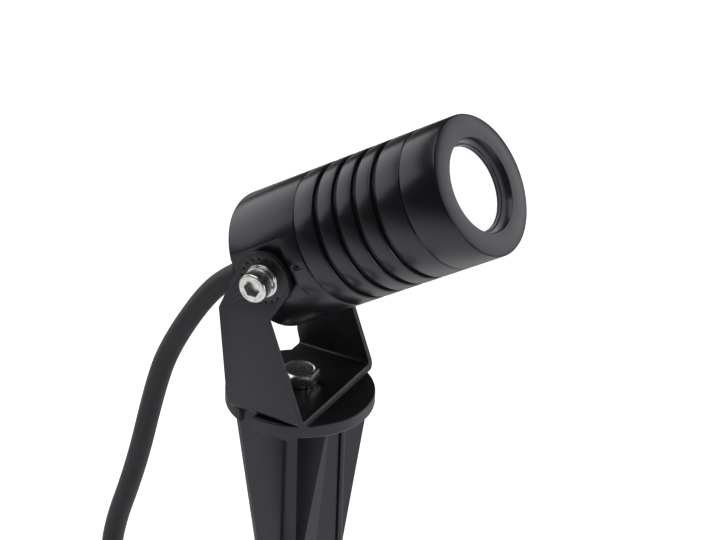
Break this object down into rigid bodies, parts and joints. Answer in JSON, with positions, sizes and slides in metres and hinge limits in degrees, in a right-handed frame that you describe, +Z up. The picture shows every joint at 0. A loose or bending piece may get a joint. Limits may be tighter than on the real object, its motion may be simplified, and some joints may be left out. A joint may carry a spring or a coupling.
{
  "type": "garden spike spotlight",
  "caption": "Cylindrical adjustable spotlight in a U bracket on a cross-bladed ground spike, with a rubber lead coiled at its side.",
  "frame": {"origin": "on the spike's axis at the underside of its flange, which rests on the ground", "axes": "+Z up along the spike, +X the way the head points, tilted up from it, +Y to the left of the beam, along the tilt axis"},
  "size_m": [0.1611, 0.1474, 0.2611],
  "materials": {
    "spike_plastic": "moulded black plastic with a soft sheen",
    "brass": "turned brass",
    "stainless": "bright stainless steel",
    "black_sheet": "black anodised sheet, satin",
    "black_anodised": "black anodised, satin",
    "seal_rubber": "matte black rubber",
    "holder_plastic": "moulded grey plastic",
    "lens_glass": "clear polished optic",
    "board": "white solder mask",
    "pad": "soft grey pad",
    "emitter": "phosphor under a clear dome",
    "board_green": "green solder mask",
    "component_plastic": "moulded black cases",
    "wire_red": "smooth insulation",
    "wire_brown": "smooth insulation",
    "black_steel": "blackened steel",
    "gland_plastic": "moulded black nylon",
    "lead_rubber": "matte black rubber sheath",
    "ferrule": "tinned"
  },
  "bodies": {
    "spike": {"spike_body": "spike_plastic", "spike_insert": "brass", "base_bolt": "stainless", "base_spring_washer": "stainless"},
    "yoke": {"yoke_bracket": "black_sheet", "lead_free": "lead_rubber", "lead_coil": "lead_rubber", "lead_tie": "gland_plastic", "lead_cores": "wire_brown", "core_ferrules": "ferrule"},
    "head": {"rear_housing": "black_anodised", "heat_sink_barrel": "black_anodised", "front_bezel": "black_anodised", "rear_o_ring": "seal_rubber", "front_o_ring": "seal_rubber", "lens_gasket": "seal_rubber", "optic_holder": "holder_plastic", "lens": "lens_glass", "led_board": "board", "thermal_pad": "pad", "led_emitter": "emitter", "led_board_screws": "stainless", "driver_board": "board_green", "driver_components": "component_plastic", "board_rails": "holder_plastic", "led_wires": "wire_red", "supply_wires": "wire_brown", "pivot_screws": "stainless", "pivot_spring_washers": "stainless", "pivot_washers": "stainless", "grub_screw": "black_steel", "gland_body": "gland_plastic", "gland_seal": "seal_rubber", "gland_nut": "gland_plastic", "lead_sleeve": "seal_rubber", "lead_entry": "lead_rubber"}
  },
  "joints": [
    {"name": "yoke_pan", "type": "hinge", "parent": "spike", "child": "yoke", "pos_m": [0, 0, 0.0047], "axis": [0, 0, 1], "range_deg": [-170, 170]},
    {"name": "head_tilt", "type": "hinge", "parent": "yoke", "child": "head", "pos_m": [-0.0009, 0, 0.055], "axis": [0, -1, 0], "range_deg": [-50, 57], "deforming": ["lead_free"]}
  ]
}
